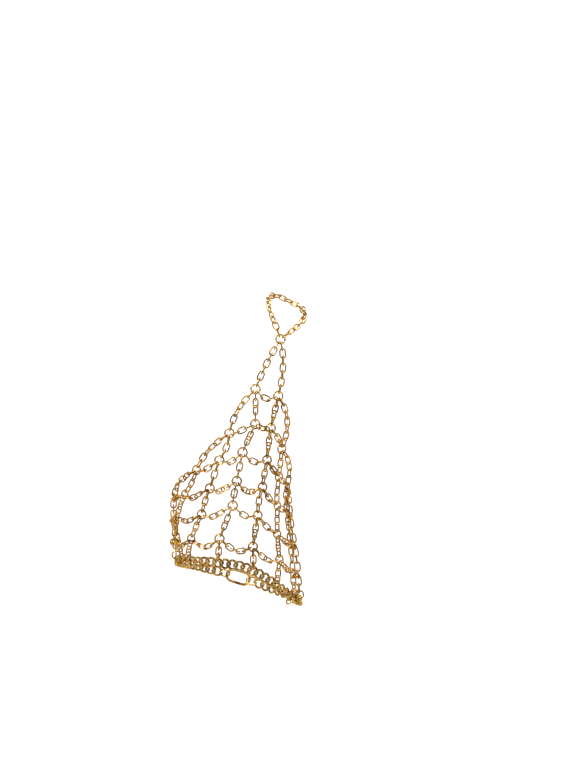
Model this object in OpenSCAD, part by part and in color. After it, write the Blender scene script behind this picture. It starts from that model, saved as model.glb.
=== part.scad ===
// Hand chain bracelet: a triangular net of oval-link chain that lies over the back of a hand.
// A loop of the same chain goes round the middle finger, and a flat curb chain closes round
// the wrist. Z points along the fingers and -Y out of the back of the hand. The origin is the
// middle of the wrist loop. All sizes are in millimetres and all angles in degrees.

/* [Wrist loop] */
// Width of the curb chain's loop across the wrist, along the middle of the chain
loop_w = 61; // [55:0.5:67]
// Depth of the loop from the back of the wrist to the palm side
loop_d = 44; // [39:0.5:49]
// How far the loop rises on the thumb side and dips on the other side
loop_tilt = 10.5; // [0:0.5:14]

/* [Net] */
// Height of the knuckle ring over the middle of the wrist loop
net_h = 117; // [106:1:128]
// How far a cross chain hangs below the straight line between its rings
swag_sag = 3.75; // [1:0.25:4]

/* [Finger loop] */
// Diameter of the loop round the finger, along the middle of the chain
finger_d = 20.2; // [18:0.2:24]

/* [Oval links] */
// Outside length of an oval link
link_l = 5.3; // [4.9:0.1:5.7]
// Outside width of an oval link
link_w = 3.4; // [3.2:0.1:3.7]
// Diameter of the oval links' wire
link_wire = 0.76; // [0.66:0.02:0.8]

/* [Round rings] */
// Outside diameter of the rings where chains meet
ring_d = 5.2; // [5:0.1:5.6]
// Diameter of the rings' wire
ring_wire = 0.84; // [0.7:0.02:0.9]
// Outside diameter of the hangers that hook the net into the curb chain
hanger_d = 4.8; // [4.5:0.1:5.2]
// Outside diameter of the small ring that hangs below the curb chain
end_ring_d = 4.2; // [3.8:0.1:4.6]

/* [Curb chain] */
// Distance from one curb link to the next
curb_pitch = 3.5; // [3.3:0.1:3.9]
// Width of the curb chain
curb_w = 5.3; // [5.1:0.1:5.8]
// Diameter of the curb links' wire
curb_wire = 1.2; // [1:0.05:1.25]
// Twist of a curb link from its middle to each end
curb_twist = 48; // [45:1:52]

/* [Clasp] */
// Outside length of the clasp
clasp_l = 13; // [11:0.5:16]
// Outside width of the clasp
clasp_w = 7.4; // [6.8:0.2:9]
// Thickness of the clasp's wire
clasp_wire = 1.4; // [1.2:0.1:1.6]
// Outside diameter of the rings that join the clasp to the curb chain
clasp_ring_d = 6; // [5.6:0.1:7]
// Diameter of those rings' wire
clasp_ring_wire = 0.8; // [0.7:0.05:0.9]

/* [Fit] */
// Least clear space between pieces that hook into each other
clearance = 0.12; // [0.1:0.01:0.15]
// Diameter of the plain tubes that stand for the finest chains
tube_d = 1.8; // [1.4:0.1:2]

/* [Hidden] */

// The form that the chains lie on, by height. Heights are shares of net_h, middles and half
// widths are shares of half of loop_w, and half depths are shares of half of loop_d.
// Columns: height, middle, half width, half depth
FORM = [
  [-0.10, 0, 1, 1],
  [0.085, -0.025, 0.96, 1],
  [0.17, -0.066, 0.95, 1],
  [0.256, -0.098, 0.934, 0.98],
  [0.342, -0.115, 0.918, 0.96],
  [0.427, -0.07, 0.945, 0.94],
  [0.547, 0, 1.016, 0.9],
  [0.795, 0.164, 1.246, 0.8],
  [1, 0.328, 1.377, 0.72]];

// Height of the wrist loop. Columns: angle round the wrist from its back, share of loop_tilt
LOOP_LINE = [
  [-180, 0], [-135, 0.6], [-90, 0.93], [-52, 0.98], [-22, 1], [4, 0.85], [18, 0.57],
  [33, 0.12], [53, -0.5], [66, -0.8], [90, -0.96], [120, -0.88], [150, -0.5], [180, 0]];

// The rings of the net, row by row from the top.
// Columns: column number, angle round the form, height as a share of net_h
NET = [
  [[4, 5.5, 0.796], [5, 24, 0.767]],
  [[3, -9, 0.615], [4, 11, 0.652], [5, 25, 0.636], [6, 43, 0.55]],
  [[2, -38, 0.464], [3, -15, 0.505], [4, 5, 0.537], [5, 29.5, 0.505], [6, 49, 0.435],
   [7, 69, 0.39]],
  [[1, -80, 0.345], [2, -52, 0.362], [3, -21.5, 0.39], [4, 4, 0.42], [5, 31, 0.394],
   [6, 53, 0.316], [7, 74, 0.279], [8, 97, 0.265]],
  [[1, -95, 0.25], [2, -68, 0.27], [3, -29.5, 0.283], [4, 2.5, 0.32], [5, 27, 0.279],
   [6, 48, 0.2], [7, 70, 0.155], [8, 94, 0.145]],
  [[1, -108, 0.155], [2, -82, 0.178], [3, -44, 0.181], [4, -12.5, 0.185], [5, 18.5, 0.152],
   [6, 46, 0.097], [7, 66, 0.035], [8, 90, 0.027]]];

// Angle of the curb link that each column hangs on, from column 1 to column 8
HOOKS = [-118, -88, -57, -19, 17, 38, 66, 88];
// Angle of the curb link that the small end ring hangs on, and the ring's turn to the front
END_HOOK = 60;
END_TURN = -5;
// Angle of the knuckle ring round the form
KNUCKLE_ANGLE = 14.7;

// How far the chains between two rings bow sideways at their middle, in degrees round the form.
// Columns: the lead chains to columns 4 and 5, each edge's three stretches from the top, and the
// topmost stretch of columns 2 to 6
LEAD_BOW = [-1, 2.4];
LEFT_BOW = [-3.5, -4, -8];
RIGHT_BOW = [6.2, 7, 7];
TOP_BOW = [2.4, 2.4, 0, 0, 0];

// Route of the finger loop from the knuckle ring round the finger and back, in finger radii
FINGER_ROUTE = [
  [-0.26, 0.10, 0.73], [-0.53, 0.64, 1.41], [-0.59, 1.27, 1.94], [-0.31, 1.95, 2.18],
  [0.32, 2.29, 1.94], [0.95, 1.95, 1.60], [1.17, 1.27, 1.21], [0.95, 0.59, 0.76],
  [0.51, 0.10, 0.39]];
// Middle of the finger from the knuckle ring, in finger radii
FINGER_MIDDLE = [0.27, 1.37, 1.65];

// Sizes that follow from the ones above
link_core = link_l - link_wire;
ring_r = (ring_d - ring_wire) / 2;
hanger_core = hanger_d - link_wire;
// How far from a ring's middle the end of a link's middle line can lie
reach = ring_r - (ring_wire + link_wire) / 2 - clearance;
// Height of a hanger's lower end over the middle of the curb chain
hook_rise = (curb_w - curb_wire) / 2 - (curb_wire + link_wire) / 2 - 2.2 * clearance;
// Shift of the cross chains' tubes to the inside of the oval links, and of the side columns'
// tubes to the outside of the rings
cross_shift = -(link_w + tube_d) / 2 - clearance;
column_shift = (ring_wire + tube_d) / 2 + 3 * clearance;
// Steepest slope of a cross chain at its ends
steepest = 1.4;
// Steps along a cross chain or a stretch of a column
swag_steps = 4;
// Steps along a lead chain or a stretch of an edge
strand_steps = 8;
// Steps between two chosen points of the finger loop
spline_steps = 4;
// Degrees between the points of the wrist loop's route
loop_step = 5;
// Sections round a curb link, and sides of its wire and of the plain tubes
curb_sections = 14;
curb_sides = 6;
tube_sides = 8;
// Facets of round rings and of their wire
ring_facets = 48;
wire_facets = 20;
gold = "goldenrod";

// Small tools
function unit(v) = v / norm(v);
function mix(a, b, t) = a + (b - a) * t;
function form_value(h, k) = lookup(h / net_h, [for (row = FORM) [row[0], row[k]]]);
function form_point(angle, h) = [
  loop_w / 2 * (form_value(h, 1) + form_value(h, 2) * sin(angle)),
  -loop_d / 2 * form_value(h, 3) * cos(angle),
  h];
function form_outward(angle, h) = unit(cross(
  form_point(angle + 1, h) - form_point(angle - 1, h),
  form_point(angle, h + 1) - form_point(angle, h - 1)));

// A route is a list of six numbers for each point: its place and the outward direction there
function on_form(angle, h) = concat(form_point(angle, h), form_outward(angle, h));
function place(q) = [q[0], q[1], q[2]];
function outward(q) = [q[3], q[4], q[5]];
function shifted(q, by) = concat(place(q) + by * outward(q), outward(q));

// Distances along a route, and tables of distance against each of the six numbers
function distances(route) = [
  for (i = 0, s = 0; i < len(route);
       s = s + (i + 1 < len(route) ? norm(place(route[i + 1]) - place(route[i])) : 0), i = i + 1) s];
function tables(route) = let (s = distances(route))
  [for (k = [0:5]) [for (i = [0:len(route) - 1]) [s[i], route[i][k]]]];
function total(t) = t[0][len(t[0]) - 1][0];
function at(t, s) = [for (k = [0:5]) lookup(s, t[k])];

// A frame is a middle point and three directions: along, across and outward, rolled about along
function frame(p, q, out, roll) = let (
    x = unit(q - p),
    z = unit(out - (out * x) * x),
    y = cross(z, x))
  [(p + q) / 2, x, y * cos(roll) + z * sin(roll), z * cos(roll) - y * sin(roll)];
function flat_frame(q) = let (z = outward(q), x = unit(cross([0, 0, 1], z)))
  [place(q), x, cross(z, x), z];
function piece_frame(t, s, core, roll) = let (a = at(t, s - core / 2), b = at(t, s + core / 2))
  frame(place(a), place(b), outward(at(t, s)), roll);
function in_frame(f, p) = f[0] + p[0] * f[1] + p[1] * f[2] + p[2] * f[3];

module placed(f) {
  multmatrix([
    [f[1][0], f[2][0], f[3][0], f[0][0]],
    [f[1][1], f[2][1], f[3][1], f[0][1]],
    [f[1][2], f[2][2], f[3][2], f[0][2]],
    [0, 0, 0, 1]])
  children();
}

// Turn of piece i of m about the strand: both ends stand on edge in a ring that lies flat
function roll(i, m) = m == 2 ? 45 + 90 * i : 90 + i * 180 * round((m - 1) / 2) / (m - 1);

// Frames of the pieces that fill a route. The first piece's end may lie as far as from_reach
// from the route's start and the last one's as far as to_reach from its end. The last piece
// has a core length of its own, so that it can be a hanger.
function strand(route, from_reach, to_reach, last_core) = let (
    t = tables(route),
    join = link_wire + clearance,
    step = link_core - join,
    ends = (link_core + last_core) / 2,
    last_step = ends - join,
    span = total(t) - ends,
    m = 2 + max(0, ceil((span - from_reach - to_reach - last_step) / step)),
    full = from_reach + to_reach + (m - 2) * step + last_step,
    share = min(1, span / full),
    pitch = max(share * step, (link_core + join) / 2),
    rest = span - (m - 2) * pitch - share * last_step,
    start = rest * from_reach / (from_reach + to_reach) + link_core / 2)
  [for (i = [0:m - 1])
    i < m - 1
      ? piece_frame(t, start + i * pitch, link_core, roll(i, m))
      : piece_frame(t, start + (m - 2) * pitch + share * last_step, last_core, roll(i, m))];

// The rings of the net by row and column number
function net_row(row, column) = [for (p = NET[row - 1]) if (p[0] == column) p][0];
function has_ring(row, column) = !is_undef(net_row(row, column));
function top_row(column) = [for (row = [1:6]) if (has_ring(row, column)) row][0];
function ring_at(row, column) = let (p = net_row(row, column)) on_form(p[1], p[2] * net_h);

// Route over the form between two rings of the net, with a sag and a sideways bow at its middle
function between(a, b, sag, bow, steps) = [for (i = [0:steps]) let (t = i / steps)
  on_form(mix(a[1], b[1], t) + 4 * bow * t * (1 - t),
    net_h * mix(a[2], b[2], t) - 4 * sag * t * (1 - t))];
function swag(a, b) = let (
    p = form_point(a[1], net_h * a[2]),
    q = form_point(b[1], net_h * b[2]),
    width = norm([q[0] - p[0], q[1] - p[1]]),
    slope = abs(q[2] - p[2]) / width,
    sag = max(0.3, min(swag_sag, (steepest - slope) * width / 4)))
  between(a, b, sag, 0, swag_steps);

// The wrist loop's route, and the curb links' frames along it
LOOP = tables([for (a = [-180:loop_step:180]) on_form(a, loop_tilt * lookup(a, LOOP_LINE))]);
LOOP_TURNS = [for (i = [0:360 / loop_step]) [-180 + i * loop_step, LOOP[0][i][0]]];
clasp_core = clasp_l - clasp_wire;
clasp_ring_r = (clasp_ring_d - clasp_ring_wire) / 2;
clasp_hold = (clasp_wire + clasp_ring_wire) / 2 + 2.5 * clearance;
curb_hold = (curb_wire + clasp_ring_wire) / 2 + 1.5 * clearance;
clasp_ring_s = clasp_core / 2 - clasp_hold + clasp_ring_r;
curb_start = clasp_ring_s + clasp_ring_r - curb_hold + (curb_pitch + curb_wire) / 2 + clearance;
curb_count = round((total(LOOP) - 2 * curb_start) / curb_pitch) + 1;
curb_step = (total(LOOP) - 2 * curb_start) / (curb_count - 1);
curb_half = (curb_step + curb_wire) / 2 + clearance;
CURB = [for (i = [0:curb_count - 1]) piece_frame(LOOP, curb_start + i * curb_step, curb_step, 0)];
function curb_near(angle) = CURB[round((lookup(angle, LOOP_TURNS) - curb_start) / curb_step)];
function hook_point(f, rise) = concat(in_frame(f, [0, rise, 0]), f[3]);

// Frames from the lowest ring of a column down to its hanger in the curb chain
function hanging(column) = strand(
  [ring_at(6, column), hook_point(curb_near(HOOKS[column - 1]), hook_rise)],
  reach, 0, hanger_core);

KNUCKLE_AT = [0, KNUCKLE_ANGLE, 1];
KNUCKLE = on_form(KNUCKLE_ANGLE, net_h);

// The finger loop's route, a smooth curve through its chosen points
function spline(p, i, t) = let (
    a = p[max(0, i - 1)], b = p[i], c = p[i + 1], d = p[min(len(p) - 1, i + 2)])
  b + t / 2 * (c - a) + t * t * (a - 2.5 * b + 2 * c - d / 2) + t * t * t * (3 * (b - c) + d - a) / 2;
function finger_points() = let (
    k = place(KNUCKLE),
    r = finger_d / 2,
    p = concat([k], [for (v = FINGER_ROUTE) k + r * v], [k]))
  concat([for (i = [0:len(p) - 2]) for (j = [0:spline_steps - 1]) spline(p, i, j / spline_steps)],
    [k]);
function finger_route() = let (
    k = place(KNUCKLE),
    middle = k + finger_d / 2 * FINGER_MIDDLE)
  [for (q = finger_points()) let (near = 1 - min(1, 2 * norm(q - k) / finger_d))
    concat(q, unit(mix(unit(q - middle), outward(KNUCKLE), near)))];

module round_ring(d, wire) {
  rotate_extrude($fn = ring_facets) translate([(d - wire) / 2, 0]) circle(d = wire, $fn = wire_facets);
}

// Long rounded link: two half rings joined by two straight wires
module long_ring(l, w, wire) {
  straight = l - w;
  r = (w - wire) / 2;
  for (side = [-1, 1]) {
    translate([side * straight / 2, 0, 0]) rotate([0, 0, -side * 90])
      rotate_extrude(angle = 180, $fn = ring_facets)
        translate([r, 0]) circle(d = wire, $fn = wire_facets);
    translate([0, side * r, 0]) rotate([0, 90, 0])
      cylinder(h = straight, d = wire, center = true, $fn = wire_facets);
  }
}

module oval_links(frames) {
  for (f = frames) placed(f) long_ring(link_l, link_w, link_wire);
}

module oval_links_and_hanger(frames) {
  oval_links([for (i = [0:len(frames) - 2]) frames[i]]);
  placed(frames[len(frames) - 1]) round_ring(hanger_d, link_wire);
}

// One closed shell swept round a closed or an open line of sections
function ring_faces(base, sections, sides, closed) = [
  for (i = [0:sections - (closed ? 1 : 2)]) for (j = [0:sides - 1]) let (
      a = base + i * sides + j,
      b = base + i * sides + (j + 1) % sides,
      c = base + ((i + 1) % sections) * sides + j,
      d = base + ((i + 1) % sections) * sides + (j + 1) % sides)
    each [[a, c, d], [a, d, b]]];

// Points of a curb link: a flat oval of round wire, twisted evenly along its length
function curb_line(u) = let (
    x = curb_half * cos(u), y = (curb_w - curb_wire) / 2 * sin(u), turn = -curb_twist * cos(u))
  [x, y * cos(turn), y * sin(turn)];
function curb_points(f) = [
  for (i = [0:curb_sections - 1]) let (
      u = 360 * (i + 0.5) / curb_sections,
      p = curb_line(u),
      along = unit(curb_line(u + 1) - curb_line(u - 1)),
      turn = -curb_twist * cos(u),
      e = [cos(u), sin(u) * cos(turn), sin(u) * sin(turn)],
      out = unit(e - (e * along) * along),
      side = cross(along, out))
    for (j = [0:curb_sides - 1]) let (v = 360 * j / curb_sides)
      in_frame(f, p + curb_wire / 2 * (cos(v) * out + sin(v) * side))];

module curb_chain() {
  per_link = curb_sections * curb_sides;
  color(gold) polyhedron(
    points = [for (f = CURB) each curb_points(f)],
    faces = [for (k = [0:curb_count - 1])
      each ring_faces(k * per_link, curb_sections, curb_sides, true)]);
}

// Point of the wrist loop at a distance either side of its palm-side middle, and a piece there
function at_end(s) = at(LOOP, s < 0 ? total(LOOP) + s : s);
function end_frame(s, core, roll) =
  frame(place(at_end(s - core / 2)), place(at_end(s + core / 2)), outward(at_end(s)), roll);

module clasp() {
  color(gold) placed(end_frame(0, clasp_core, 0)) long_ring(clasp_l, clasp_w, clasp_wire);
}

module clasp_ring_left() {
  color(gold) placed(end_frame(clasp_ring_s, clasp_ring_r, -50))
    round_ring(clasp_ring_d, clasp_ring_wire);
}

module clasp_ring_right() {
  color(gold) placed(end_frame(-clasp_ring_s, clasp_ring_r, 50))
    round_ring(clasp_ring_d, clasp_ring_wire);
}

// Small ring through a curb link's lower side
module end_ring() {
  f = curb_near(END_HOOK);
  drop = hook_rise + (end_ring_d - link_wire) / 2;
  color(gold) placed([in_frame(f, [0, -drop, 0]), f[2],
      f[3] * cos(END_TURN) + f[1] * sin(END_TURN), f[1] * cos(END_TURN) - f[3] * sin(END_TURN)])
    round_ring(end_ring_d, link_wire);
}

module finger_loop() {
  color(gold) oval_links(strand(finger_route(), reach, reach, link_core));
}

module knuckle_ring() {
  color(gold) placed(flat_frame(KNUCKLE)) round_ring(ring_d, ring_wire);
}

module lead(column, bow) {
  color(gold) oval_links(strand(
    between(KNUCKLE_AT, net_row(1, column), 0, bow, strand_steps), reach, reach, link_core));
}
module lead_left() { lead(4, LEAD_BOW[0]); }
module lead_right() { lead(5, LEAD_BOW[1]); }

// Slanted edge of the net: from a ring to the next column's ring one row further down
module edge(columns, bow) {
  color(gold) for (row = [1:3]) oval_links(strand(
    between(net_row(row, columns[row - 1]), net_row(row + 1, columns[row]),
      0, bow[row - 1], strand_steps),
    reach, reach, link_core));
}
module edge_left() { edge([4, 3, 2, 1], LEFT_BOW); }
module edge_right() { edge([5, 6, 7, 8], RIGHT_BOW); }

// A column of links from row to row, with its hanger
module column(number) {
  color(gold) {
    for (row = [1:5]) if (has_ring(row, number)) oval_links(strand(
      between(net_row(row, number), net_row(row + 1, number), 0,
        row == top_row(number) ? TOP_BOW[number - 2] : 0, swag_steps),
      reach, reach, link_core));
    oval_links_and_hanger(hanging(number));
  }
}

// One closed tube along a route, shifted outward
module tube(route, shift) {
  q = [for (p = route) shifted(p, shift)];
  n = len(q);
  points = [for (i = [0:n - 1]) let (
      along = unit(place(q[min(n - 1, i + 1)]) - place(q[max(0, i - 1)])),
      out = unit(outward(q[i]) - (outward(q[i]) * along) * along),
      side = cross(along, out))
    for (j = [0:tube_sides - 1]) let (v = 360 * j / tube_sides)
      place(q[i]) + tube_d / 2 * (cos(v) * out + sin(v) * side)];
  color(gold) polyhedron(points = points, faces = concat(
    ring_faces(0, n, tube_sides, false),
    [[for (j = [0:tube_sides - 1]) j], [for (j = [0:tube_sides - 1]) n * tube_sides - 1 - j]]));
}

// A side column whose fine chain is a plain tube outside the rings, ending over the curb chain
module column_tube(number) {
  rows = [for (row = [1:6]) if (has_ring(row, number)) net_row(row, number)];
  end = hook_point(curb_near(HOOKS[number - 1]), (curb_w + tube_d) / 2 + clearance);
  tube(concat(
    [on_form(rows[0][1], rows[0][2] * net_h - ring_d / 2)],
    [for (i = [0:len(rows) - 2]) let (r = between(rows[i], rows[i + 1], 0, 0, swag_steps))
      for (j = [1:swag_steps]) r[j]],
    [end]), column_shift);
}

// The cross chains of a row as one plain tube inside the rings
module cross_chain(row) {
  rings = NET[row - 1];
  tube(concat(
    [on_form(rings[0][1], rings[0][2] * net_h)],
    [for (i = [0:len(rings) - 2]) let (s = swag(rings[i], rings[i + 1]))
      for (j = [1:swag_steps]) s[j]]), cross_shift);
}

module ring_row(row) {
  color(gold) for (p = NET[row - 1])
    placed(flat_frame(on_form(p[1], p[2] * net_h))) round_ring(ring_d, ring_wire);
}

curb_chain();
clasp();
clasp_ring_left();
clasp_ring_right();
end_ring();
finger_loop();
knuckle_ring();
lead_left();
lead_right();
edge_left();
edge_right();
column_tube(1);  // column_1
column(2);  // column_2
column(3);  // column_3
column(4);  // column_4
column(5);  // column_5
column(6);  // column_6
column_tube(7);  // column_7
column_tube(8);  // column_8
ring_row(1);  // rings_1
ring_row(2);  // rings_2
ring_row(3);  // rings_3
ring_row(4);  // rings_4
ring_row(5);  // rings_5
ring_row(6);  // rings_6
cross_chain(1);  // cross_chain_1
cross_chain(2);  // cross_chain_2
cross_chain(3);  // cross_chain_3
cross_chain(4);  // cross_chain_4
cross_chain(5);  // cross_chain_5
cross_chain(6);  // cross_chain_6
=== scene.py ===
"""Looks of the hand chain bracelet: smooth gold links, rings and curb chain on a pale studio floor.

Lengths are in millimetres until a mesh is made, and angles are in degrees. The studio and the
camera's place are in metres.
The tables and the way that links fill a route are those of the solid model.
"""
import math

import bpy
import numpy as np
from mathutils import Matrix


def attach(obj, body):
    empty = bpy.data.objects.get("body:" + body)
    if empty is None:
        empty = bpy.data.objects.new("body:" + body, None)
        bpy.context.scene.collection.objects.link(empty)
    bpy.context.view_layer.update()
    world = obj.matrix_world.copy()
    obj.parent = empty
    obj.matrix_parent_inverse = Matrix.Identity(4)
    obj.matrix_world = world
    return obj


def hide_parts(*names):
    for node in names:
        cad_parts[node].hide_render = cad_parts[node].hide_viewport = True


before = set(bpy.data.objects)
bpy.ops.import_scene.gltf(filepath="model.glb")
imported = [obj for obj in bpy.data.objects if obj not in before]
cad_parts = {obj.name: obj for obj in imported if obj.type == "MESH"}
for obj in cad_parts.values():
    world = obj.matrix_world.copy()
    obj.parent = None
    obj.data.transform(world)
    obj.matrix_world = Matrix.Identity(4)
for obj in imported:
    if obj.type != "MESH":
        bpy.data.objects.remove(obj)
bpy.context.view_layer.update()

MM = 0.001

# Driving sizes
LOOP_W = 61.0
LOOP_D = 44.0
LOOP_TILT = 10.5
NET_H = 117.0
FINGER_D = 20.2
LINK_L = 5.3
LINK_W = 3.4
LINK_WIRE = 0.76
RING_D = 5.2
RING_WIRE = 0.84
HANGER_D = 4.8
CURB_PITCH = 3.5
CURB_W = 5.3
CURB_WIRE = 1.2
CURB_TWIST = 48.0
CURB_FLAT = 0.95
CLASP_L = 13.0
CLASP_WIRE = 1.4
CLASP_RING_D = 6.0
CLASP_RING_WIRE = 0.8
CLEARANCE = 0.12

# Columns: height as a share of NET_H, middle, half width and half depth as shares
FORM = np.array([
    [-0.10, 0, 1, 1],
    [0.085, -0.025, 0.96, 1],
    [0.17, -0.066, 0.95, 1],
    [0.256, -0.098, 0.934, 0.98],
    [0.342, -0.115, 0.918, 0.96],
    [0.427, -0.07, 0.945, 0.94],
    [0.547, 0, 1.016, 0.9],
    [0.795, 0.164, 1.246, 0.8],
    [1, 0.328, 1.377, 0.72]])

# Columns: angle round the wrist from its back, share of LOOP_TILT
LOOP_LINE = np.array([
    [-180, 0], [-135, 0.6], [-90, 0.93], [-52, 0.98], [-22, 1], [4, 0.85], [18, 0.57],
    [33, 0.12], [53, -0.5], [66, -0.8], [90, -0.96], [120, -0.88], [150, -0.5], [180, 0]])

# Rings of the net, row by row: column number to (angle round the form, share of NET_H)
NET = [
    {4: (5.5, 0.796), 5: (24, 0.767)},
    {3: (-9, 0.615), 4: (11, 0.652), 5: (25, 0.636), 6: (43, 0.55)},
    {2: (-38, 0.464), 3: (-15, 0.505), 4: (5, 0.537), 5: (29.5, 0.505), 6: (49, 0.435),
     7: (69, 0.39)},
    {1: (-80, 0.345), 2: (-52, 0.362), 3: (-21.5, 0.39), 4: (4, 0.42), 5: (31, 0.394),
     6: (53, 0.316), 7: (74, 0.279), 8: (97, 0.265)},
    {1: (-95, 0.25), 2: (-68, 0.27), 3: (-29.5, 0.283), 4: (2.5, 0.32), 5: (27, 0.279),
     6: (48, 0.2), 7: (70, 0.155), 8: (94, 0.145)},
    {1: (-108, 0.155), 2: (-82, 0.178), 3: (-44, 0.181), 4: (-12.5, 0.185), 5: (18.5, 0.152),
     6: (46, 0.097), 7: (66, 0.035), 8: (90, 0.027)}]

# Angle of the curb link that each column hangs on, and a column that hangs with less slack
HOOKS = {1: -118, 2: -88, 3: -57, 4: -19, 5: 17, 6: 38, 7: 66, 8: 85}
SLACK = {1: 0.6}
KNUCKLE = (14.7, 1.0)

# Cross chains, row by row: sag in mm, sideways bow in degrees, belly outward in mm
SWAGS = [
    [(3.5, 0, 0)],
    [(2.6, -7, 0), (1.7, 0, 0), (0.1, 1, 1.2)],
    [(3.3, -5, 0), (3.4, -1, 0), (3.2, 0, 0), (0.9, -1, 1.6), (1.2, 4, 0.4)],
    [(1.7, -7, 1.2), (3.8, -7, 0), (3.7, -5, 0), (4.1, -1, 0), (1.3, 0, 0), (1.2, 3, 0.4),
     (1.3, 0, 0.4)],
    [(1.9, -7, 1.2), (3.0, -1, 0), (3.8, -7, 0), (3.0, 0, 0), (1.8, 0, 0), (2.5, 1, 1.2),
     (1.5, 1, 0.4)],
    [(2.2, -3, 1.6), (3.8, 0, 0), (4.2, 0, 0), (4.2, 0, 0), (3.7, 0, 0), (1.8, 0, 0),
     (1.5, 0, 0.4)]]
SWAG_POWER = 1.5

# Sideways bows of the lead chains, of each edge's stretches from the top and of the topmost
# stretch of a column
LEAD_BOW = {4: -1, 5: 2.4}
LEFT_EDGE = ((4, 3, 2, 1), (-3.5, -4, -8))
RIGHT_EDGE = ((5, 6, 7, 8), (6.2, 7, 7))
TOP_BOW = {2: 2.4, 3: 2.4}

# Route of the finger loop from the knuckle ring, and the finger's middle, in finger radii
FINGER_ROUTE = np.array([
    [-0.26, 0.10, 0.73], [-0.53, 0.64, 1.41], [-0.59, 1.27, 1.94], [-0.31, 1.95, 2.18],
    [0.32, 2.29, 1.94], [0.95, 1.95, 1.60], [1.17, 1.27, 1.21], [0.95, 0.59, 0.76],
    [0.51, 0.10, 0.39]])
FINGER_MIDDLE = np.array([0.27, 1.37, 1.65])

# Sizes that follow
LINK_CORE = LINK_L - LINK_WIRE
RING_R = (RING_D - RING_WIRE) / 2
HANGER_CORE = HANGER_D - LINK_WIRE
REACH = RING_R - (RING_WIRE + LINK_WIRE) / 2 - CLEARANCE
HOOK_RISE = (CURB_W - CURB_WIRE) / 2 - (CURB_WIRE + LINK_WIRE) / 2 - 2.2 * CLEARANCE
STRAND_STEPS = 8
SPLINE_STEPS = 4
LOOP_STEP = 5

# Mesh fineness, the step that a tangent is taken over as a share of the way round, and how far a
# worn link sits off its even place, in degrees
LINK_SECTIONS = 36
LINK_SIDES = 12
CURB_SECTIONS = 48
CURB_SIDES = 16
TANGENT_STEP = 0.004
ROLL_JITTER = 5.0
LEAN_JITTER = 1.0
rng = np.random.default_rng(7)

# Finish of the gold: cells a metre of its patches of painted shade and of its polish marks, the
# marks' depth in mm and the colour that its edges darken to
SHADE_PATCHES = 260.0
POLISH = 2600.0
POLISH_DEPTH = 0.02
EDGE_TINT = (0.56, 0.37, 0.17, 1)


def sin(a):
    return math.sin(math.radians(a))


def cos(a):
    return math.cos(math.radians(a))


def unit(v):
    return v / np.linalg.norm(v)


def form_value(h, k):
    return np.interp(h / NET_H, FORM[:, 0], FORM[:, k])


def form_point(angle, h):
    return np.array([
        LOOP_W / 2 * (form_value(h, 1) + form_value(h, 2) * sin(angle)),
        -LOOP_D / 2 * form_value(h, 3) * cos(angle),
        h])


def on_form(angle, h):
    """Six numbers: a place on the form and the outward direction there."""
    out = np.cross(form_point(angle + 1, h) - form_point(angle - 1, h),
                   form_point(angle, h + 1) - form_point(angle, h - 1))
    return np.concatenate([form_point(angle, h), unit(out)])


def at_ring(p):
    return on_form(p[0], p[1] * NET_H)


class Route:
    """A line of points with outward directions, read by the distance along it."""

    def __init__(self, points):
        self.points = np.array(points)
        steps = np.linalg.norm(np.diff(self.points[:, :3], axis=0), axis=1)
        self.run = np.concatenate([[0], np.cumsum(steps)])
        self.length = self.run[-1]

    def at(self, s):
        return np.array([np.interp(s, self.run, self.points[:, k]) for k in range(6)])


def frame_of(p, q, out, roll):
    """Middle, along, across and outward directions of a piece, rolled about its length."""
    x = unit(q - p)
    z = unit(out - np.dot(out, x) * x)
    y = np.cross(z, x)
    return (p + q) / 2, x, y * cos(roll) + z * sin(roll), z * cos(roll) - y * sin(roll)


def piece_frame(route, s, core, roll):
    a = route.at(s - core / 2)
    b = route.at(s + core / 2)
    return frame_of(a[:3], b[:3], route.at(s)[3:], roll)


def roll_of(i, m):
    if m == 2:
        return 45 + 90 * i
    return 90 + i * 180 * math.floor((m - 1) / 2 + 0.5) / (m - 1)


def strand(points, from_reach, to_reach, last_core):
    """Frames of the links that fill a route between two rings, or a ring and the curb chain."""
    route = Route(points)
    join = LINK_WIRE + CLEARANCE
    step = LINK_CORE - join
    ends = (LINK_CORE + last_core) / 2
    last_step = ends - join
    span = route.length - ends
    m = 2 + max(0, math.ceil((span - from_reach - to_reach - last_step) / step))
    share = min(1, span / (from_reach + to_reach + (m - 2) * step + last_step))
    pitch = max(share * step, (LINK_CORE + join) / 2)
    rest = span - (m - 2) * pitch - share * last_step
    start = rest * from_reach / (from_reach + to_reach) + LINK_CORE / 2
    frames = [piece_frame(route, start + i * pitch, LINK_CORE, roll_of(i, m))
              for i in range(m - 1)]
    last = start + (m - 2) * pitch + share * last_step
    return frames + [piece_frame(route, last, last_core, roll_of(m - 1, m))]


def between(a, b, bow=0, sag=0, belly=0, power=1):
    points = []
    for i in range(STRAND_STEPS + 1):
        t = i / STRAND_STEPS
        hump = (4 * t * (1 - t)) ** power
        q = on_form(a[0] + (b[0] - a[0]) * t + bow * hump,
                    NET_H * (a[1] + (b[1] - a[1]) * t) - sag * hump)
        q[:3] += belly * hump * q[3:]
        points.append(q)
    return points


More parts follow.
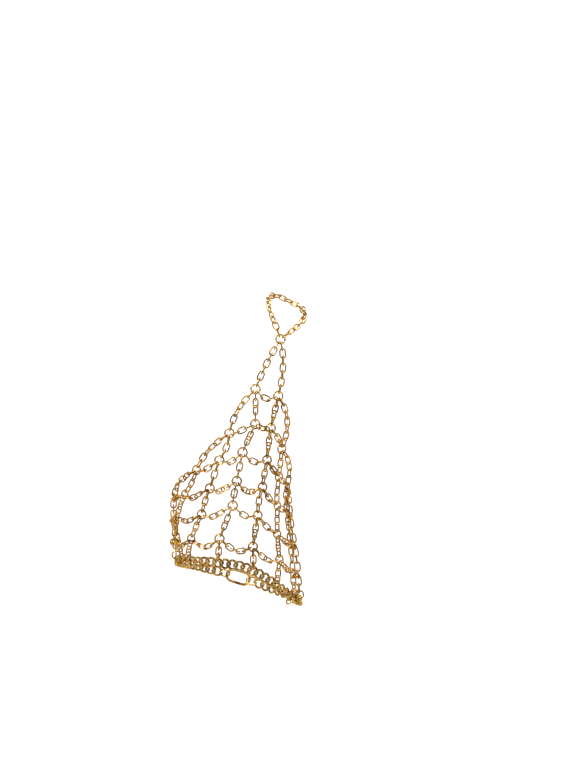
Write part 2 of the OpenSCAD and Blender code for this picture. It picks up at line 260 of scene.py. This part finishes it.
# The wrist loop and the curb links along it
LOOP_ANGLES = np.arange(-180, 180 + LOOP_STEP, LOOP_STEP)
LOOP = Route([on_form(a, LOOP_TILT * np.interp(a, LOOP_LINE[:, 0], LOOP_LINE[:, 1]))
              for a in LOOP_ANGLES])
CLASP_CORE = CLASP_L - CLASP_WIRE
CLASP_RING_R = (CLASP_RING_D - CLASP_RING_WIRE) / 2
CLASP_HOLD = (CLASP_WIRE + CLASP_RING_WIRE) / 2 + 2.5 * CLEARANCE
CURB_HOLD = (CURB_WIRE + CLASP_RING_WIRE) / 2 + 1.5 * CLEARANCE
CLASP_RING_S = CLASP_CORE / 2 - CLASP_HOLD + CLASP_RING_R
CURB_START = (CLASP_RING_S + CLASP_RING_R - CURB_HOLD
              + (CURB_PITCH + CURB_WIRE) / 2 + CLEARANCE)
CURB_COUNT = round((LOOP.length - 2 * CURB_START) / CURB_PITCH) + 1
CURB_STEP = (LOOP.length - 2 * CURB_START) / (CURB_COUNT - 1)
CURB_HALF = (CURB_STEP + CURB_WIRE) / 2 + CLEARANCE
CURB = [piece_frame(LOOP, CURB_START + i * CURB_STEP, CURB_STEP, 0) for i in range(CURB_COUNT)]


def hook_point(angle):
    s = np.interp(angle, LOOP_ANGLES, LOOP.run)
    c, _, y, z = CURB[round((s - CURB_START) / CURB_STEP)]
    return np.concatenate([c + HOOK_RISE * y, z])


def hanging(column):
    return strand([at_ring(NET[-1][column]), hook_point(HOOKS[column])],
                  SLACK.get(column, 1) * REACH, 0, HANGER_CORE)


def finger_points():
    knuckle = at_ring(KNUCKLE)
    k = knuckle[:3]
    r = FINGER_D / 2
    p = [k] + [k + r * v for v in FINGER_ROUTE] + [k]
    middle = k + r * FINGER_MIDDLE
    curve = []
    for i in range(len(p) - 1):
        a, b, c, d = p[max(0, i - 1)], p[i], p[i + 1], p[min(len(p) - 1, i + 2)]
        for j in range(SPLINE_STEPS):
            t = j / SPLINE_STEPS
            curve.append(b + t / 2 * (c - a) + t * t * (a - 2.5 * b + 2 * c - d / 2)
                         + t * t * t * (3 * (b - c) + d - a) / 2)
    curve.append(k)
    points = []
    for q in curve:
        near = 1 - min(1, 2 * np.linalg.norm(q - k) / FINGER_D)
        out = unit(q - middle) * (1 - near) + knuckle[3:] * near
        points.append(np.concatenate([q, unit(out)]))
    return points


def link_line(t):
    """Middle line of an oval link at a share of the way round: two arcs and two straights."""
    r = (LINK_W - LINK_WIRE) / 2
    flat = LINK_L - LINK_W
    s = (t % 1) * (2 * math.pi * r + 2 * flat)
    arc = math.pi * r
    if s < arc:
        a = s / r - math.pi / 2
        return np.array([flat / 2 + r * math.cos(a), r * math.sin(a), 0])
    if s < arc + flat:
        return np.array([flat / 2 - (s - arc), r, 0])
    if s < 2 * arc + flat:
        a = (s - arc - flat) / r + math.pi / 2
        return np.array([-flat / 2 + r * math.cos(a), r * math.sin(a), 0])
    return np.array([-flat / 2 + (s - 2 * arc - flat), -r, 0])


def ring_line(t):
    a = 2 * math.pi * t
    r = HANGER_CORE / 2
    return np.array([r * math.cos(a), r * math.sin(a), 0])


def curb_line(t):
    a = 2 * math.pi * t
    turn = -math.radians(CURB_TWIST) * math.cos(a)
    y = (CURB_W - CURB_WIRE) / 2 * math.sin(a)
    return np.array([CURB_HALF * math.cos(a), y * math.cos(turn), y * math.sin(turn)])


def swept(line, wire, sections, sides, flat=None):
    """Points of one closed link: round wire swept along its middle line, ground flat at flat."""
    rows = []
    for i in range(sections):
        t = i / sections
        p = line(t)
        along = unit(line(t + TANGENT_STEP) - line(t - TANGENT_STEP))
        out = unit(p - np.dot(p, along) * along)
        side = np.cross(along, out)
        for j in range(sides):
            v = 2 * math.pi * j / sides
            rows.append(p + wire / 2 * (math.cos(v) * out + math.sin(v) * side))
    rows = np.array(rows)
    if flat:
        rows[:, 2] = np.clip(rows[:, 2], -flat, flat)
    return rows


def mesh_piece(name, node, shapes, material):
    """One object of many closed links. shapes holds (points, sides, frame) for each link."""
    verts, faces = [], []
    base = 0
    for points, sides, (c, x, y, z) in shapes:
        sections = len(points) // sides
        verts.append(MM * (c + points @ np.array([x, y, z])))
        for i in range(sections):
            for j in range(sides):
                a = base + i * sides + j
                b = base + i * sides + (j + 1) % sides
                d = base + (i + 1) % sections * sides + j
                e = base + (i + 1) % sections * sides + (j + 1) % sides
                faces.append((a, d, e, b))
        base += len(points)
    mesh = bpy.data.meshes.new(name)
    mesh.from_pydata(np.vstack(verts).tolist(), [], faces)
    mesh.polygons.foreach_set("use_smooth", [True] * len(mesh.polygons))
    mesh.materials.append(material)
    mesh.update()
    piece = bpy.data.objects.new(name, mesh)
    bpy.context.scene.collection.objects.link(piece)
    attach(piece, "root")
    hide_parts(node)


LINK = swept(link_line, LINK_WIRE, LINK_SECTIONS, LINK_SIDES)
HANGER = swept(ring_line, LINK_WIRE, LINK_SECTIONS, LINK_SIDES)
CURB_LINK = swept(curb_line, CURB_WIRE, CURB_SECTIONS, CURB_SIDES, CURB_FLAT)


def eased(f):
    """A link's frame a little off its even place, as a worn chain lies."""
    c, x, y, z = f
    roll = rng.uniform(-ROLL_JITTER, ROLL_JITTER)
    lean = rng.uniform(-LEAN_JITTER, LEAN_JITTER)
    x2 = x * cos(lean) + y * sin(lean)
    y2 = y * cos(lean) - x * sin(lean)
    return c, x2, y2 * cos(roll) + z * sin(roll), z * cos(roll) - y2 * sin(roll)


def links(frames, hanger=False):
    shapes = [(LINK, LINK_SIDES, eased(f)) for f in frames]
    if hanger:
        shapes[-1] = (HANGER, LINK_SIDES, frames[-1])
    return shapes


def column_shapes(number):
    shapes = []
    rows = [row for row in range(len(NET)) if number in NET[row]]
    for row in rows[:-1]:
        bow = TOP_BOW.get(number, 0) if row == rows[0] else 0
        shapes += links(strand(between(NET[row][number], NET[row + 1][number], bow),
                               REACH, REACH, LINK_CORE))
    return shapes + links(hanging(number), True)


def edge_shapes(edge):
    columns, bows = edge
    shapes = []
    for row, bow in enumerate(bows):
        route = between(NET[row][columns[row]], NET[row + 1][columns[row + 1]], bow)
        shapes += links(strand(route, REACH, REACH, LINK_CORE))
    return shapes


def cross_shapes(row):
    rings = [NET[row][c] for c in sorted(NET[row])]
    shapes = []
    for a, b, (sag, bow, belly) in zip(rings, rings[1:], SWAGS[row]):
        route = between(a, b, bow, sag, belly, SWAG_POWER)
        shapes += links(strand(route, REACH, REACH, LINK_CORE))
    return shapes


def gold(name, color, painted_shade, roughness):
    """Polished gold plate with fine polish marks; in random patches the colour darkens to painted
    shade.
    """
    material = bpy.data.materials.new(name)
    material.use_nodes = True
    nodes = material.node_tree.nodes
    wires = material.node_tree.links
    shader = nodes["Principled BSDF"]
    shader.inputs["Metallic"].default_value = 1.0
    shader.inputs["Specular Tint"].default_value = EDGE_TINT
    place = nodes.new("ShaderNodeTexCoord")
    shade_patches = nodes.new("ShaderNodeTexNoise")
    shade_patches.inputs["Scale"].default_value = SHADE_PATCHES
    shade_patches.inputs["Detail"].default_value = 3.0
    wires.new(place.outputs["Object"], shade_patches.inputs["Vector"])
    # Painted shade: the noise patches blend the gold's colour down to a dark tone that stands in
    # for shade and dark reflections between the links; the tone between varies at random
    ramp = nodes.new("ShaderNodeValToRGB")
    ramp.color_ramp.elements[0].position = 0.32
    ramp.color_ramp.elements[0].color = (*painted_shade, 1)
    ramp.color_ramp.elements[1].position = 0.62
    ramp.color_ramp.elements[1].color = (*color, 1)
    wires.new(shade_patches.outputs["Fac"], ramp.inputs["Fac"])
    wires.new(ramp.outputs["Color"], shader.inputs["Base Color"])
    polish = nodes.new("ShaderNodeTexNoise")
    polish.inputs["Scale"].default_value = POLISH
    polish.inputs["Detail"].default_value = 2.0
    wires.new(place.outputs["Object"], polish.inputs["Vector"])
    spread = nodes.new("ShaderNodeMapRange")
    spread.inputs["To Min"].default_value = roughness * 0.8
    spread.inputs["To Max"].default_value = roughness * 1.35
    wires.new(polish.outputs["Fac"], spread.inputs["Value"])
    wires.new(spread.outputs["Result"], shader.inputs["Roughness"])
    bump = nodes.new("ShaderNodeBump")
    bump.inputs["Strength"].default_value = 0.12
    bump.inputs["Distance"].default_value = POLISH_DEPTH * MM
    wires.new(polish.outputs["Fac"], bump.inputs["Height"])
    wires.new(bump.outputs["Normal"], shader.inputs["Normal"])
    return material


# Each gold: its colour, the painted-shade tone of its dark patches and its roughness
LINK_GOLD = gold("gold_links", (0.61, 0.37, 0.11), (0.22, 0.108, 0.024), 0.21)
RING_GOLD = gold("gold_rings", (0.62, 0.38, 0.115), (0.23, 0.115, 0.026), 0.2)
CURB_GOLD = gold("gold_curb", (0.57, 0.365, 0.125), (0.21, 0.112, 0.028), 0.22)


def chain_piece(node, shapes, material=LINK_GOLD):
    mesh_piece(node + "_detail", node, shapes, material)


chain_piece("finger_loop", links(strand(finger_points(), REACH, REACH, LINK_CORE)))
for side, column in (("left", 4), ("right", 5)):
    chain_piece("lead_" + side, links(strand(
        between(KNUCKLE, NET[0][column], LEAD_BOW[column]), REACH, REACH, LINK_CORE)))
chain_piece("edge_left", edge_shapes(LEFT_EDGE))
chain_piece("edge_right", edge_shapes(RIGHT_EDGE))
for number in HOOKS:
    chain_piece(f"column_{number}", column_shapes(number))
for row in range(len(NET)):
    chain_piece(f"cross_chain_{row + 1}", cross_shapes(row))
chain_piece("curb_chain", [(CURB_LINK, CURB_SIDES, f) for f in CURB], CURB_GOLD)

for name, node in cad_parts.items():
    if name.startswith(("rings_", "clasp")) or name.endswith("_ring"):
        node.data.materials.clear()
        node.data.materials.append(RING_GOLD)


def plain(name, color, roughness):
    material = bpy.data.materials.new(name)
    material.use_nodes = True
    shader = material.node_tree.nodes["Principled BSDF"]
    shader.inputs["Base Color"].default_value = (*color, 1)
    shader.inputs["Roughness"].default_value = roughness
    return material


def studio():
    """Pale round floor that curves up into a wall, soft panels of light and a dim room."""
    floor_z, hub, radius, bend, top = -0.12, 0.02, 1.8, 0.7, 2.4
    turns, bend_steps = 72, 12
    profile = [(hub, floor_z), (radius - bend, floor_z)]
    for i in range(1, bend_steps + 1):
        a = 90 * i / bend_steps
        profile.append((radius - bend + bend * sin(a), floor_z + bend - bend * cos(a)))
    profile.append((radius, top))
    verts = [(r * cos(360 * k / turns), r * sin(360 * k / turns), z)
             for r, z in profile for k in range(turns)]
    faces = [(i * turns + k, (i + 1) * turns + k,
              (i + 1) * turns + (k + 1) % turns, i * turns + (k + 1) % turns)
             for i in range(len(profile) - 1) for k in range(turns)]
    faces.append(tuple(range(turns)))
    mesh = bpy.data.meshes.new("floor")
    mesh.from_pydata(verts, [], faces)
    mesh.polygons.foreach_set("use_smooth", [True] * len(mesh.polygons))
    mesh.materials.append(plain("pale_floor", (0.62, 0.62, 0.62), 0.6))
    floor = bpy.data.objects.new("floor", mesh)
    bpy.context.scene.collection.objects.link(floor)

    def panel(name, place, target, size, watts):
        light = bpy.data.lights.new(name, "AREA")
        light.shape = "RECTANGLE"
        light.size, light.size_y = size
        light.energy = watts
        lamp = bpy.data.objects.new(name, light)
        lamp.location = place
        aim = np.array(target) - np.array(place)
        yaw = math.atan2(aim[1], aim[0])
        pitch = math.atan2(aim[2], math.hypot(aim[0], aim[1]))
        lamp.rotation_euler = (math.pi / 2 + pitch, 0, yaw - math.pi / 2)
        bpy.context.scene.collection.objects.link(lamp)

    middle = (0.0, 0.0, 0.06)
    panel("key", (-0.55, -0.75, 0.75), middle, (0.2, 0.2), 7)
    panel("fill", (0.8, -0.55, 0.55), middle, (0.12, 0.6), 2.2)
    panel("top", (0.0, 0.15, 1.3), middle, (0.6, 0.4), 5)
    panel("back", (0.0, 0.3, 1.6), (0.0, 1.7, 0.3), (2.0, 0.4), 62)
    world = bpy.data.worlds.new("room")
    world.use_nodes = True
    world.node_tree.nodes["Background"].inputs["Color"].default_value = (1.0, 0.97, 0.94, 1)
    world.node_tree.nodes["Background"].inputs["Strength"].default_value = 0.05
    bpy.context.scene.world = world


def camera():
    """Level view straight at the back of the hand, framed as the photograph is."""
    sensor = 36.0
    frame_w, frame_h = 576, 768
    mm_per_px = 0.48
    origin_px = (237.5, 583.0)
    net_front = -15 * MM
    distance = 1.1
    data = bpy.data.cameras.new("camera")
    data.sensor_fit = "VERTICAL"
    data.sensor_height = sensor
    data.lens = sensor * distance / (frame_h * mm_per_px * MM)
    eye = bpy.data.objects.new("camera", data)
    eye.location = ((frame_w / 2 - origin_px[0]) * mm_per_px * MM, net_front - distance,
                    (origin_px[1] - frame_h / 2) * mm_per_px * MM)
    eye.rotation_euler = (math.pi / 2, 0, 0)
    bpy.context.scene.collection.objects.link(eye)
    bpy.context.scene.camera = eye


studio()
camera()
bpy.context.scene.view_settings.view_transform = "Standard"
